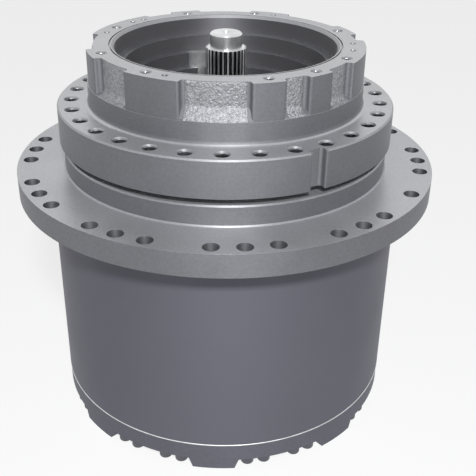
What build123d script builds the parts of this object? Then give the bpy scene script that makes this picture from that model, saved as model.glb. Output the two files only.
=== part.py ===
from build123d import *
import os
from math import acos, asin, cos, degrees, hypot, pi, radians, sin, tan

# Final drive of a crawler excavator, stood on its cover with the motor flange up.
# Millimetres, origin on the axis of rotation at the level of the cover's feet, +Z towards the motor.

os.makedirs("parts", exist_ok=True)

# Heights of the visible stack, from the feet up
foot_height = 15.0
cover_rim_thickness = 26.5
drum_height = 297.5
sprocket_flange_thickness = 32.0
neck_height = 28.3
seal_gap = 10.7
frame_flange_thickness = 50.0
collar_height = 29.2
motor_flange_height = 76.8
shaft_reach = 12.7

# Gear train: one ring gear serves both planetary stages
gear_module = 7.0
gear_pressure_angle = 25.0
sun_1_teeth = 13
planet_1_teeth = 23
planet_1_count = 3
sun_2_teeth = 17
planet_2_count = 4
tooth_play = 0.18
gear_1_width = 42.0
ring_gear_wall = 10.75
ring_gear_overlap = 7.0

# Drum housing and cover
drum_wall = 23.3
sprocket_flange_overhang = 45.7
sprocket_hole_diameter = 21.0
sprocket_hole_margin = 17.0
sprocket_stations = 44
sprocket_first_station = 267.7
sprocket_blanks_per_half_turn = (3, 7, 9, 13, 17, 21)
drum_edge_chamfer = 2.0
hub_wall = 33.0
hub_shoulder_height = 20.0
hub_shoulder_depth = 9.0
cover_inset = 0.3
cover_plate_thickness = 22.0
cover_spigot_height = 12.0
cover_spigot_wall = 14.0
cover_groove_width = 6.0
cover_groove_depth = 5.0
cover_inner_slope = 10.0
cover_bolt_diameter = 12.0
cover_bolt_head_diameter = 18.0
cover_bolt_head_height = 12.0
cover_bolt_wall = 11.3
cover_bolt_reach = 24.0
cover_bolt_offsets = (11.3, 17.0, 28.0, 33.7)
foot_count = 8
foot_first_angle = 267.8
foot_root_width = 70.0
foot_tip_width = 58.6
foot_depth = 42.0
plug_count = 3
plug_first_angle = 90.0
plug_circle_diameter = 300.0
plug_thread_diameter = 30.0
plug_head_diameter = 38.0
plug_head_height = 6.0
plug_socket = 14.0
plug_socket_depth = 12.0
thrust_pad_diameter = 56.0
thrust_pad_seat = 4.0
ring_pin_diameter = 10.0
ring_pin_length = 40.0
ring_pin_count = 4
ring_pin_first_angle = 45.0

# Spindle housing
frame_flange_overhang = 42.8
collar_diameter = 380.0
collar_fillet = 6.0
lug_inset = 0.8
pocket_depth = 9.7
pocket_corner = 4.5
pocket_lip = 3.0
# Each pocket: start angle, end angle, rise of its floor towards the axis
pockets = ((5, 14.7, 4), (31, 60, 4), (79, 104, 16), (118, 131, 8), (171, 195, 4), (209, 230, 4),
           (254, 280.5, 16), (293.5, 303.5, 8), (315, 329.5, 4))
frame_hole_count = 30
frame_hole_first_angle = -90.0
frame_hole_margin = 18.8
frame_hole_core_diameter = 17.5
frame_hole_depth = 34.0
frame_hole_chamfer = 1.7
frame_edge_chamfer = 2.0
notch_angle = 300.0
notch_width = 20.0
notch_depth = 11.0
notch_corner = 4.0
notch_lip = 2.5
motor_hole_circle_diameter = 345.0
motor_hole_core_diameter = 12.0
motor_hole_depth = 30.0
motor_hole_chamfer = 1.5
motor_hole_angles = (23.2, 76.2, 111.1, 156.4, 202.2, 237.0, 288.2, 310.6, 334.7)
small_hole_core_diameter = 8.5
small_hole_depth = 20.0
small_hole_angles = (66.2, 136.4, 143.7, 166.7, 246.2, 347.9, 359.6)
cavity_mouth_diameter = 302.6
cavity_mouth_chamfer = 3.4
cavity_mouth_depth = 25.8
cavity_step_depths = (22.5, 21.0)
cavity_step_widths = (12.6, 9.5, 11.2)
cavity_floor_height = 400.0
cavity_floor_slope = 20.0
motor_seal_groove_inset = 5.0
motor_seal_groove_width = 2.2
motor_seal_groove_depth = 2.5
brake_pin_diameter = 34.0
brake_pin_angle = 109.6
brake_pin_inset = 4.8
brake_pin_seat = 14.0
spindle_bore_diameter = 110.0
spindle_spline_teeth = 24
spindle_spline_diameter = 176.0
spindle_spline_depth = 6.0
spindle_thread_step = 2.0
spindle_shoulder = 13.0
spline_pressure_angle = 30.0

# Main bearings, bearing nut and face seal
bearing_bore_diameter = 300.0
bearing_section = 45.0
bearing_width = 38.0
bearing_taper = 8.0
bearing_thin_race = 7.0
bearing_rib = 5.0
roller_thickness = 20.0
bearing_seat_margin = 4.0
nut_height = 14.0
nut_wall = 20.0
nut_slot_count = 6
nut_slot_width = 12.0
nut_slot_depth = 5.0
seal_pocket_depth = 22.0
seal_pocket_height = 14.0
seal_ring_bore_clearance = 13.0
seal_ring_section = 16.0
seal_rubber_space = 11.0
seal_ring_height = 16.5
seal_lip_height = 5.5
seal_lip_step = 6.0
seal_ramp = 2.0

# Carriers, pins and shaft
cover_to_carrier_gap = 9.0
carrier_1_lower_plate = 14.0
carrier_1_upper_plate = 22.0
carrier_gap = 12.0
carrier_2_lower_plate = 20.0
carrier_2_upper_plate = 28.0
carrier_rim_gap = 14.5
carrier_hub_clearance = 5.0
carrier_nut_gap = 10.1
planet_web_clearance = 4.0
planet_web_inset = 19.95
thrust_washer_thickness = 2.0
thrust_washer_wall = 8.0
pin_1_diameter = 50.0
pin_2_diameter = 60.0
bush_wall = 5.0
pin_chamfer = 1.5
pin_end_inset = 2.0
lock_pin_diameter = 8.0
lock_pin_engagement = 12.0
snap_ring_thickness = 2.0
snap_ring_height = 9.0
snap_ring_opening = 9.0
snap_ring_lip = 3.4
snap_ring_groove = 6.0
shaft_body_diameter = 48.0
sun_2_bore_diameter = 62.0
shaft_spline_teeth = 26
shaft_spline_diameter = 56.0
shaft_spline_depth = 2.7
shaft_spline_length = 90.0
shaft_pilot_diameter = 44.0
shaft_pilot_length = 20.0
shaft_chamfer = 2.0
shaft_centre_hole_diameter = 12.0
shaft_centre_drill_diameter = 6.0
shaft_end_gap = 5.0

# Clearances
press_clearance = 0.02
running_clearance = 0.05
end_float = 0.3

# How near an edge lies to the radius or place that it is chosen by
edge_match = 0.01

# Gear sizes
ring_teeth = sun_1_teeth + 2 * planet_1_teeth
planet_2_teeth = (ring_teeth - sun_2_teeth) // 2
addendum = gear_module
dedendum = 1.25 * gear_module
ring_pitch_radius = gear_module * ring_teeth / 2
ring_tip_radius = ring_pitch_radius - addendum
ring_root_radius = ring_pitch_radius + dedendum
planet_1_radius = gear_module * planet_1_teeth / 2
planet_2_radius = gear_module * planet_2_teeth / 2
sun_1_radius = gear_module * sun_1_teeth / 2
sun_2_radius = gear_module * sun_2_teeth / 2
centre_distance_1 = sun_1_radius + planet_1_radius
centre_distance_2 = sun_2_radius + planet_2_radius

# Radii of the visible steps
drum_bore_radius = ring_root_radius + ring_gear_wall
drum_radius = drum_bore_radius + drum_wall
flange_radius = drum_radius + sprocket_flange_overhang
sprocket_hole_circle = flange_radius - sprocket_hole_margin
bearing_bore_radius = bearing_bore_diameter / 2
bearing_outer_radius = bearing_bore_radius + bearing_section
neck_radius = bearing_outer_radius + hub_wall
cover_radius = drum_radius - cover_inset
cover_bolt_circle = drum_radius - cover_bolt_wall
collar_radius = collar_diameter / 2
frame_flange_radius = collar_radius + frame_flange_overhang
frame_hole_circle = frame_flange_radius - frame_hole_margin
lug_radius = collar_radius - lug_inset
cavity_radius_1 = cavity_mouth_diameter / 2
cavity_radius_2 = cavity_radius_1 - cavity_step_widths[0]
cavity_radius_3 = cavity_radius_2 - cavity_step_widths[1]
cavity_radius_4 = cavity_radius_3 - cavity_step_widths[2]
carrier_radius = ring_tip_radius - carrier_rim_gap
seal_ring_radius = bearing_bore_radius + spindle_shoulder + seal_ring_bore_clearance
seal_face_radius = seal_ring_radius + seal_ring_section
seal_pocket_radius = seal_face_radius + seal_rubber_space

# Levels of the visible stack
cover_face_z = foot_height
drum_bottom_z = cover_face_z + cover_rim_thickness
flange_under_z = drum_bottom_z + drum_height
flange_top_z = flange_under_z + sprocket_flange_thickness
neck_top_z = flange_top_z + neck_height
frame_under_z = neck_top_z + seal_gap
frame_top_z = frame_under_z + frame_flange_thickness
collar_top_z = frame_top_z + collar_height
motor_face_z = frame_top_z + motor_flange_height
shaft_top_z = motor_face_z + shaft_reach
ledge_1_z = motor_face_z - cavity_mouth_depth
ledge_2_z = ledge_1_z - cavity_step_depths[0]
ledge_3_z = ledge_2_z - cavity_step_depths[1]

# Levels of the bearings and the face seal, from the neck down
seal_floor_z = neck_top_z - seal_pocket_depth
bearing_2_top_z = seal_floor_z - bearing_seat_margin
bearing_2_bottom_z = bearing_2_top_z - bearing_width
bearing_1_top_z = bearing_2_bottom_z - hub_shoulder_height
bearing_1_bottom_z = bearing_1_top_z - bearing_width
nut_bottom_z = bearing_1_bottom_z - nut_height
seal_plane_z = (neck_top_z + frame_under_z) / 2

# Levels of the gear train: the second stage takes the height that is left under the bearing nut
washer_space = thrust_washer_thickness + end_float
cover_inner_z = cover_face_z + cover_plate_thickness
spigot_top_z = drum_bottom_z + cover_spigot_height
carrier_1_bottom_z = cover_inner_z + cover_to_carrier_gap
carrier_1_floor_z = carrier_1_bottom_z + carrier_1_lower_plate
gear_1_bottom_z = carrier_1_floor_z + washer_space
gear_1_top_z = gear_1_bottom_z + gear_1_width
carrier_1_roof_z = gear_1_top_z + washer_space
carrier_1_top_z = carrier_1_roof_z + carrier_1_upper_plate
carrier_2_bottom_z = carrier_1_top_z + carrier_gap
carrier_2_floor_z = carrier_2_bottom_z + carrier_2_lower_plate
gear_2_bottom_z = carrier_2_floor_z + washer_space
carrier_2_top_z = nut_bottom_z - carrier_nut_gap
carrier_2_roof_z = carrier_2_top_z - carrier_2_upper_plate
gear_2_top_z = carrier_2_roof_z - washer_space
gear_2_width = gear_2_top_z - gear_2_bottom_z
ring_gear_bottom_z = spigot_top_z + running_clearance
ring_gear_top_z = gear_2_top_z + ring_gear_overlap
spindle_end_z = carrier_2_roof_z + end_float
snap_ring_z = spindle_end_z + snap_ring_lip


def polar(radius, angle):
    """Point at a radius and an angle in degrees."""
    return (radius * cos(radians(angle)), radius * sin(radians(angle)))


def radial_plane(angle):
    """Upright plane through the axis, x outward at the angle and y up."""
    return Plane(origin=(0, 0, 0), x_dir=(*polar(1, angle), 0), z_dir=(*polar(1, angle - 90), 0))


def outward_plane(radius, angle, height):
    """Plane that faces away from the axis, x along the rim and y up."""
    origin = (*polar(radius, angle), height)
    return Plane(origin=origin, x_dir=(*polar(1, angle + 90), 0), z_dir=(*polar(1, angle), 0))


def rim(part, radius, height):
    """Circular edges of one radius that lie at one height."""
    return part.edges().filter_by(GeomType.CIRCLE).filter_by(
        lambda edge: abs(edge.radius - radius) < edge_match and abs(edge.center().Z - height) < edge_match)


def uprights(part, places):
    """Straight upright edges that stand over the given points of the plan."""
    return part.edges().filter_by(Axis.Z).filter_by(
        lambda edge: any(hypot(edge.center().X - x, edge.center().Y - y) < edge_match for x, y in places))


def involute(angle):
    """Involute function of an angle in radians."""
    return tan(angle) - angle


def toothed_outline(teeth, pitch_radius, root_radius, tip_radius, pressure_angle, play):
    """Closed face with involute teeth all round, one of them centred on x.

    Play is taken off every flank. A negative play gives the outline of the matching spaces.
    """
    base_radius = pitch_radius * cos(radians(pressure_angle))
    pitch_half_angle = pi / (2 * teeth) - play / pitch_radius

    def flank_point(tooth, side, radius):
        roll = acos(min(1.0, base_radius / radius))
        half_angle = pitch_half_angle + involute(radians(pressure_angle)) - involute(roll)
        turn = 2 * pi * tooth / teeth + side * half_angle
        return (radius * cos(turn), radius * sin(turn))

    def arc_middle(turn, radius):
        return (radius * cos(turn), radius * sin(turn))

    middle_radius = (root_radius + tip_radius) / 2
    with BuildSketch() as outline:
        with BuildLine():
            for tooth in range(teeth):
                centre_turn = 2 * pi * tooth / teeth
                right = [flank_point(tooth, -1, r) for r in (root_radius, middle_radius, tip_radius)]
                left = [flank_point(tooth, 1, r) for r in (tip_radius, middle_radius, root_radius)]
                ThreePointArc(*right)
                ThreePointArc(right[-1], arc_middle(centre_turn, tip_radius), left[0])
                ThreePointArc(*left)
                next_root = flank_point(tooth + 1, -1, root_radius)
                ThreePointArc(left[-1], arc_middle(centre_turn + pi / teeth, root_radius), next_root)
        make_face()
    return outline.sketch


def gear_face(teeth):
    """Outline of an external gear of the drive."""
    pitch_radius = gear_module * teeth / 2
    return toothed_outline(teeth, pitch_radius, pitch_radius - dedendum, pitch_radius + addendum,
                           gear_pressure_angle, tooth_play)


def planet_angles(count):
    """Places of evenly spaced planets, the first of them on +X."""
    return [360 * index / count for index in range(count)]


def planet_plane(centre_distance, angle, planet_teeth, height):
    """Plane on a planet's axis, turned so that the planet meets the ring gear's spaces."""
    turn = angle * (1 - ring_teeth / planet_teeth)
    origin = (*polar(centre_distance, angle), height)
    return Plane(origin=origin, x_dir=(*polar(1, turn), 0), z_dir=(0, 0, 1))


# Drum housing: hub, sprocket flange and drum wall are one casting.
ring_shoulder_z = ring_gear_top_z + running_clearance
ring_shoulder_radius = (ring_tip_radius + drum_bore_radius) / 2
bearing_bore_bottom_z = bearing_1_bottom_z - bearing_seat_margin
hub_opening_z = (ring_shoulder_z + bearing_bore_bottom_z) / 2
foot_angles = [foot_first_angle + 360 * index / foot_count for index in range(foot_count)]
cover_bolt_places = [polar(cover_bolt_circle, angle + offset)
                     for angle in foot_angles for offset in cover_bolt_offsets]
half_turn = sprocket_stations // 2
sprocket_hole_angles = [sprocket_first_station + 360 * station / sprocket_stations
                        for station in range(sprocket_stations)
                        if station % half_turn not in sprocket_blanks_per_half_turn]
ring_pin_places = [polar(drum_bore_radius, ring_pin_first_angle + 360 * index / ring_pin_count)
                   for index in range(ring_pin_count)]

with BuildPart() as drum_housing:
    with BuildSketch(Plane.XZ):
        with BuildLine():
            Polyline(
                (drum_radius, drum_bottom_z),
                (drum_radius, flange_under_z),
                (flange_radius, flange_under_z),
                (flange_radius, flange_top_z),
                (neck_radius, flange_top_z),
                (neck_radius, neck_top_z),
                (seal_pocket_radius, neck_top_z),
                (seal_pocket_radius, seal_floor_z),
                (bearing_outer_radius, seal_floor_z),
                (bearing_outer_radius, bearing_2_bottom_z),
                (bearing_outer_radius - hub_shoulder_depth, bearing_2_bottom_z),
                (bearing_outer_radius - hub_shoulder_depth, bearing_1_top_z),
                (bearing_outer_radius, bearing_1_top_z),
                (bearing_outer_radius, bearing_bore_bottom_z),
                (ring_shoulder_radius, hub_opening_z),
                (ring_shoulder_radius, ring_shoulder_z),
                (drum_bore_radius, ring_shoulder_z),
                (drum_bore_radius, drum_bottom_z),
                close=True,
            )
        make_face()
    revolve(axis=Axis.Z)
    chamfer(rim(drum_housing.part, drum_radius, drum_bottom_z), drum_edge_chamfer)
    chamfer(rim(drum_housing.part, neck_radius, neck_top_z), drum_edge_chamfer)
    chamfer(rim(drum_housing.part, neck_radius, flange_top_z), drum_edge_chamfer)
    with BuildSketch(Plane.XY.offset(flange_top_z)):
        with Locations(*[polar(sprocket_hole_circle, angle) for angle in sprocket_hole_angles]):
            Circle(sprocket_hole_diameter / 2)
    extrude(amount=-sprocket_flange_thickness, mode=Mode.SUBTRACT)
    with BuildSketch(Plane.XY.offset(drum_bottom_z)):
        with Locations(*cover_bolt_places):
            Circle(cover_bolt_diameter / 2)
    extrude(amount=cover_bolt_reach, mode=Mode.SUBTRACT)
    with BuildSketch(Plane.XY.offset(ring_gear_bottom_z)):
        with Locations(*ring_pin_places):
            Circle(ring_pin_diameter / 2)
    extrude(amount=ring_pin_length, mode=Mode.SUBTRACT)
drum_housing.part.label = "drum_housing"
export_step(drum_housing.part, "parts/drum_housing.step")

# Ring gear: a toothed sleeve in the drum, held by the cover's spigot and by pins on its outside.
with BuildPart() as ring_gear:
    with BuildSketch(Plane.XY.offset(ring_gear_bottom_z)):
        Circle(drum_bore_radius - press_clearance)
        add(toothed_outline(ring_teeth, ring_pitch_radius, ring_tip_radius, ring_root_radius,
                            gear_pressure_angle, -tooth_play), mode=Mode.SUBTRACT)
        with Locations(*ring_pin_places):
            Circle(ring_pin_diameter / 2, mode=Mode.SUBTRACT)
    extrude(amount=ring_gear_top_z - ring_gear_bottom_z)
ring_gear.part.label = "ring_gear"
export_step(ring_gear.part, "parts/ring_gear.step")

with BuildPart() as ring_gear_pins:
    with BuildSketch(Plane.XY.offset(ring_gear_bottom_z)):
        with Locations(*ring_pin_places):
            Circle(ring_pin_diameter / 2 - press_clearance)
    extrude(amount=ring_pin_length - press_clearance)
ring_gear_pins.part.label = "ring_gear_pins"
export_step(ring_gear_pins.part, "parts/ring_gear_pins.step")

# Cover: a dished plate with a spigot, eight wide feet and three plug holes.
spigot_radius = drum_bore_radius - running_clearance
spigot_inner_radius = spigot_radius - cover_spigot_wall
groove_bottom_z = drum_bottom_z + (cover_spigot_height - cover_groove_width) / 2
groove_top_z = groove_bottom_z + cover_groove_width
groove_root_radius = spigot_radius - cover_groove_depth
plug_places = [polar(plug_circle_diameter / 2, plug_first_angle + 360 * index / plug_count)
               for index in range(plug_count)]

with BuildPart() as cover:
    with BuildSketch(Plane.XZ):
        with BuildLine():
            Polyline(
                (0, cover_face_z),
                (cover_radius, cover_face_z),
                (cover_radius, drum_bottom_z),
                (spigot_radius, drum_bottom_z),
                (spigot_radius, groove_bottom_z),
                (groove_root_radius, groove_bottom_z),
                (groove_root_radius, groove_top_z),
                (spigot_radius, groove_top_z),
                (spigot_radius, spigot_top_z),
                (spigot_inner_radius, spigot_top_z),
                (spigot_inner_radius - cover_inner_slope, cover_inner_z),
                (0, cover_inner_z),
                close=True,
            )
        make_face()
    revolve(axis=Axis.Z)
    for angle in foot_angles:
        with BuildSketch(outward_plane(cover_radius - foot_depth, angle, cover_face_z)):
            with BuildLine():
                Polyline(
                    (-foot_root_width / 2, 0),
                    (foot_root_width / 2, 0),
                    (foot_tip_width / 2, -foot_height),
                    (-foot_tip_width / 2, -foot_height),
                    close=True,
                )
            make_face()
        extrude(amount=foot_depth)
    with BuildSketch(Plane.XY):
        Circle(cover_radius + foot_root_width / 2)
        Circle(cover_radius, mode=Mode.SUBTRACT)
    extrude(amount=foot_height, mode=Mode.SUBTRACT)
    with BuildSketch(Plane.XY.offset(cover_face_z)):
        with Locations(*cover_bolt_places):
            Circle(cover_bolt_diameter / 2 + running_clearance)
    extrude(amount=cover_rim_thickness, mode=Mode.SUBTRACT)
    with BuildSketch(Plane.XY.offset(cover_face_z)):
        with Locations(*plug_places):
            Circle(plug_thread_diameter / 2)
    extrude(amount=cover_plate_thickness, mode=Mode.SUBTRACT)
    with BuildSketch(Plane.XY.offset(cover_inner_z)):
        Circle(thrust_pad_diameter / 2)
    extrude(amount=-thrust_pad_seat, mode=Mode.SUBTRACT)
cover.part.label = "cover"
export_step(cover.part, "parts/cover.step")

with BuildPart() as cover_bolts:
    with BuildSketch(Plane.XY.offset(cover_face_z)):
        with Locations(*cover_bolt_places):
            Circle(cover_bolt_head_diameter / 2)
    extrude(amount=-cover_bolt_head_height)
    with BuildSketch(Plane.XY.offset(cover_face_z)):
        with Locations(*cover_bolt_places):
            Circle(cover_bolt_diameter / 2 - press_clearance)
    extrude(amount=cover_rim_thickness + cover_bolt_reach - press_clearance)
cover_bolts.part.label = "cover_bolts"
export_step(cover_bolts.part, "parts/cover_bolts.step")

with BuildPart() as cover_o_ring:
    with BuildSketch(Plane.XY.offset(groove_bottom_z + press_clearance)):
        Circle(drum_bore_radius)
        Circle(groove_root_radius, mode=Mode.SUBTRACT)
    extrude(amount=cover_groove_width - 2 * press_clearance)
cover_o_ring.part.label = "cover_o_ring"
export_step(cover_o_ring.part, "parts/cover_o_ring.step")

with BuildPart() as cover_plugs:
    with BuildSketch(Plane.XY.offset(cover_face_z)):
        with Locations(*plug_places):
            Circle(plug_head_diameter / 2)
    extrude(amount=-plug_head_height)
    with BuildSketch(Plane.XY.offset(cover_face_z)):
        with Locations(*plug_places):
            Circle(plug_thread_diameter / 2 - press_clearance)
    extrude(amount=cover_plate_thickness)
    with BuildSketch(Plane.XY.offset(cover_face_z - plug_head_height)):
        with Locations(*plug_places):
            RegularPolygon(plug_socket / 2, 6, major_radius=False)
    extrude(amount=plug_socket_depth, mode=Mode.SUBTRACT)
cover_plugs.part.label = "cover_plugs"
export_step(cover_plugs.part, "parts/cover_plugs.step")

# Input shaft: sun teeth at the foot, a splined and ground end for the motor at the top.
shaft_bottom_z = carrier_1_bottom_z + shaft_end_gap
shaft_spline_top_z = shaft_top_z - shaft_pilot_length
shaft_spline_bottom_z = shaft_spline_top_z - shaft_spline_length
shaft_spline_tip = shaft_spline_diameter / 2
shaft_spline_root = shaft_spline_tip - shaft_spline_depth
shaft_spline_pitch = (shaft_spline_root + shaft_spline_tip) / 2
shaft_pilot_radius = shaft_pilot_diameter / 2

with BuildPart() as input_shaft:
    with BuildSketch(Plane.XY.offset(shaft_bottom_z)):
        Circle(shaft_body_diameter / 2)
    extrude(amount=shaft_spline_bottom_z - shaft_bottom_z)
    with BuildSketch(Plane.XY.offset(carrier_1_floor_z)):
        add(gear_face(sun_1_teeth))
    extrude(amount=gear_1_top_z - carrier_1_floor_z)
    with BuildSketch(Plane.XY.offset(shaft_spline_bottom_z)):
        add(toothed_outline(shaft_spline_teeth, shaft_spline_pitch, shaft_spline_root, shaft_spline_tip,
                            spline_pressure_angle, 0))
    extrude(amount=shaft_spline_length)
    with BuildSketch(Plane.XY.offset(shaft_spline_top_z)):
        Circle(shaft_pilot_radius)
    extrude(amount=shaft_pilot_length)
    chamfer(rim(input_shaft.part, shaft_pilot_radius, shaft_top_z), shaft_chamfer)
    with Locations((0, 0, shaft_top_z)):
        CounterSinkHole(shaft_centre_drill_diameter / 2, shaft_centre_hole_diameter / 2,
                        depth=shaft_centre_hole_diameter, counter_sink_angle=60)
input_shaft.part.label = "input_shaft"
export_step(input_shaft.part, "parts/input_shaft.step")

thrust_pad_radius = thrust_pad_diameter / 2 - press_clearance
thrust_pad_top_z = shaft_bottom_z - end_float

with BuildPart() as shaft_thrust_pad:
    with BuildSketch(Plane.XY.offset(cover_inner_z - thrust_pad_seat)):
        Circle(thrust_pad_radius)
    extrude(amount=thrust_pad_top_z - cover_inner_z + thrust_pad_seat)
    chamfer(rim(shaft_thrust_pad.part, thrust_pad_radius, thrust_pad_top_z), pin_chamfer)
shaft_thrust_pad.part.label = "shaft_thrust_pad"
export_step(shaft_thrust_pad.part, "parts/shaft_thrust_pad.step")

# First stage carrier: two plates joined by webs between the planets, splined on the second sun gear.
angles_1 = planet_angles(planet_1_count)
places_1 = [polar(centre_distance_1, angle) for angle in angles_1]
carrier_1_hub = sun_1_radius + addendum + carrier_hub_clearance
web_1_radius = planet_1_radius + addendum + planet_web_clearance
lock_1_z = (carrier_1_roof_z + carrier_1_top_z) / 2
lock_1_inner = centre_distance_1 + pin_1_diameter / 2 - lock_pin_engagement

with BuildPart() as stage_1_carrier:
    with BuildSketch(Plane.XY.offset(carrier_1_bottom_z)):
        Circle(carrier_radius)
    extrude(amount=carrier_1_top_z - carrier_1_bottom_z)
    with BuildSketch(Plane.XY.offset(carrier_1_floor_z)):
        Circle(centre_distance_1)
        with Locations(*places_1):
            Circle(web_1_radius)
    extrude(amount=carrier_1_roof_z - carrier_1_floor_z, mode=Mode.SUBTRACT)
    with BuildSketch(Plane.XY.offset(carrier_1_bottom_z)):
        Circle(carrier_1_hub)
    extrude(amount=carrier_1_lower_plate, mode=Mode.SUBTRACT)
    with BuildSketch(Plane.XY.offset(carrier_1_roof_z)):
        add(toothed_outline(sun_2_teeth, sun_2_radius, sun_2_radius - dedendum + running_clearance,
                            sun_2_radius + addendum + running_clearance, gear_pressure_angle,
                            tooth_play - running_clearance))
    extrude(amount=carrier_1_upper_plate, mode=Mode.SUBTRACT)
    with BuildSketch(Plane.XY.offset(carrier_1_bottom_z)):
        with Locations(*places_1):
            Circle(pin_1_diameter / 2)
    extrude(amount=carrier_1_top_z - carrier_1_bottom_z, mode=Mode.SUBTRACT)
    for angle in angles_1:
        with BuildSketch(outward_plane(lock_1_inner, angle, lock_1_z)):
            Circle(lock_pin_diameter / 2)
        extrude(amount=carrier_radius - lock_1_inner, mode=Mode.SUBTRACT)
stage_1_carrier.part.label = "stage_1_carrier"
export_step(stage_1_carrier.part, "parts/stage_1_carrier.step")

with BuildPart() as stage_1_planet_pins:
    with BuildSketch(Plane.XY.offset(carrier_1_bottom_z + pin_end_inset)):
        with Locations(*places_1):
            Circle(pin_1_diameter / 2 - press_clearance)
    extrude(amount=carrier_1_top_z - carrier_1_bottom_z - 2 * pin_end_inset)
    for angle in angles_1:
        with BuildSketch(outward_plane(lock_1_inner, angle, lock_1_z)):
            Circle(lock_pin_diameter / 2)
        extrude(amount=lock_pin_engagement, mode=Mode.SUBTRACT)
stage_1_planet_pins.part.label = "stage_1_planet_pins"
export_step(stage_1_planet_pins.part, "parts/stage_1_planet_pins.step")

with BuildPart() as stage_1_lock_pins:
    for angle in angles_1:
        with BuildSketch(outward_plane(lock_1_inner, angle, lock_1_z)):
            Circle(lock_pin_diameter / 2 - press_clearance)
        extrude(amount=carrier_radius - pin_end_inset - lock_1_inner)
stage_1_lock_pins.part.label = "stage_1_lock_pins"
export_step(stage_1_lock_pins.part, "parts/stage_1_lock_pins.step")

with BuildPart() as stage_1_thrust_washers:
    for height in (carrier_1_floor_z, carrier_1_roof_z - thrust_washer_thickness):
        with BuildSketch(Plane.XY.offset(height)):
            with Locations(*places_1):
                Circle(pin_1_diameter / 2 + thrust_washer_wall)
                Circle(pin_1_diameter / 2, mode=Mode.SUBTRACT)
        extrude(amount=thrust_washer_thickness)
stage_1_thrust_washers.part.label = "stage_1_thrust_washers"
export_step(stage_1_thrust_washers.part, "parts/stage_1_thrust_washers.step")

for index, angle in enumerate(angles_1, start=1):
    plane = planet_plane(centre_distance_1, angle, planet_1_teeth, gear_1_bottom_z)
    with BuildPart() as planet:
        with BuildSketch(plane):
            add(gear_face(planet_1_teeth))
            Circle(pin_1_diameter / 2 + bush_wall, mode=Mode.SUBTRACT)
        extrude(amount=gear_1_width)
    planet.part.label = f"stage_1_planet_{index}"
    export_step(planet.part, f"parts/stage_1_planet_{index}.step")
    with BuildPart() as bush:
        with BuildSketch(plane):
            Circle(pin_1_diameter / 2 + bush_wall - press_clearance)
            Circle(pin_1_diameter / 2 + running_clearance, mode=Mode.SUBTRACT)
        extrude(amount=gear_1_width)
    bush.part.label = f"stage_1_bush_{index}"
    export_step(bush.part, f"parts/stage_1_bush_{index}.step")

# Second sun gear: hollow for the input shaft, its lower teeth sit in the first carrier.
with BuildPart() as stage_2_sun_gear:
    with BuildSketch(Plane.XY.offset(carrier_1_roof_z)):
        add(gear_face(sun_2_teeth))
        Circle(sun_2_bore_diameter / 2, mode=Mode.SUBTRACT)
    extrude(amount=gear_2_top_z - carrier_1_roof_z)
stage_2_sun_gear.part.label = "stage_2_sun_gear"
export_step(stage_2_sun_gear.part, "parts/stage_2_sun_gear.step")

# Second stage carrier: fixed on the spindle's splined end, so its planets drive the ring gear.
angles_2 = planet_angles(planet_2_count)
places_2 = [polar(centre_distance_2, angle) for angle in angles_2]
carrier_2_hub = sun_2_radius + addendum + carrier_hub_clearance
web_2_radius = planet_2_radius + addendum + planet_web_clearance
web_2_inner = centre_distance_2 - planet_web_inset
lock_2_z = (carrier_2_roof_z + carrier_2_top_z) / 2
lock_2_inner = centre_distance_2 + pin_2_diameter / 2 - lock_pin_engagement
spline_tip = spindle_spline_diameter / 2
spline_root = spline_tip - spindle_spline_depth
spline_pitch_radius = (spline_tip + spline_root) / 2
spline_bottom_z = snap_ring_z + snap_ring_thickness

with BuildPart() as stage_2_carrier:
    with BuildSketch(Plane.XY.offset(carrier_2_bottom_z)):
        Circle(carrier_radius)
    extrude(amount=carrier_2_top_z - carrier_2_bottom_z)
    with BuildSketch(Plane.XY.offset(carrier_2_floor_z)):
        Circle(web_2_inner)
        with Locations(*places_2):
            Circle(web_2_radius)
    extrude(amount=carrier_2_roof_z - carrier_2_floor_z, mode=Mode.SUBTRACT)
    with BuildSketch(Plane.XY.offset(carrier_2_bottom_z)):
        Circle(carrier_2_hub)
    extrude(amount=carrier_2_lower_plate, mode=Mode.SUBTRACT)
    with BuildSketch(Plane.XY.offset(carrier_2_roof_z)):
        Circle(spline_tip + snap_ring_height)
    extrude(amount=spline_bottom_z - carrier_2_roof_z, mode=Mode.SUBTRACT)
    with BuildSketch(Plane.XY.offset(spline_bottom_z)):
        add(toothed_outline(spindle_spline_teeth, spline_pitch_radius, spline_root + running_clearance,
                            spline_tip + running_clearance, spline_pressure_angle, -running_clearance))
    extrude(amount=carrier_2_top_z - spline_bottom_z, mode=Mode.SUBTRACT)
    with BuildSketch(Plane.XY.offset(carrier_2_bottom_z)):
        with Locations(*places_2):
            Circle(pin_2_diameter / 2)
    extrude(amount=carrier_2_top_z - carrier_2_bottom_z, mode=Mode.SUBTRACT)
    for angle in angles_2:
        with BuildSketch(outward_plane(lock_2_inner, angle, lock_2_z)):
            Circle(lock_pin_diameter / 2)
        extrude(amount=carrier_radius - lock_2_inner, mode=Mode.SUBTRACT)
stage_2_carrier.part.label = "stage_2_carrier"
export_step(stage_2_carrier.part, "parts/stage_2_carrier.step")

with BuildPart() as stage_2_planet_pins:
    with BuildSketch(Plane.XY.offset(carrier_2_bottom_z + pin_end_inset)):
        with Locations(*places_2):
            Circle(pin_2_diameter / 2 - press_clearance)
    extrude(amount=carrier_2_top_z - carrier_2_bottom_z - 2 * pin_end_inset)
    for angle in angles_2:
        with BuildSketch(outward_plane(lock_2_inner, angle, lock_2_z)):
            Circle(lock_pin_diameter / 2)
        extrude(amount=lock_pin_engagement, mode=Mode.SUBTRACT)
stage_2_planet_pins.part.label = "stage_2_planet_pins"
export_step(stage_2_planet_pins.part, "parts/stage_2_planet_pins.step")

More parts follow.
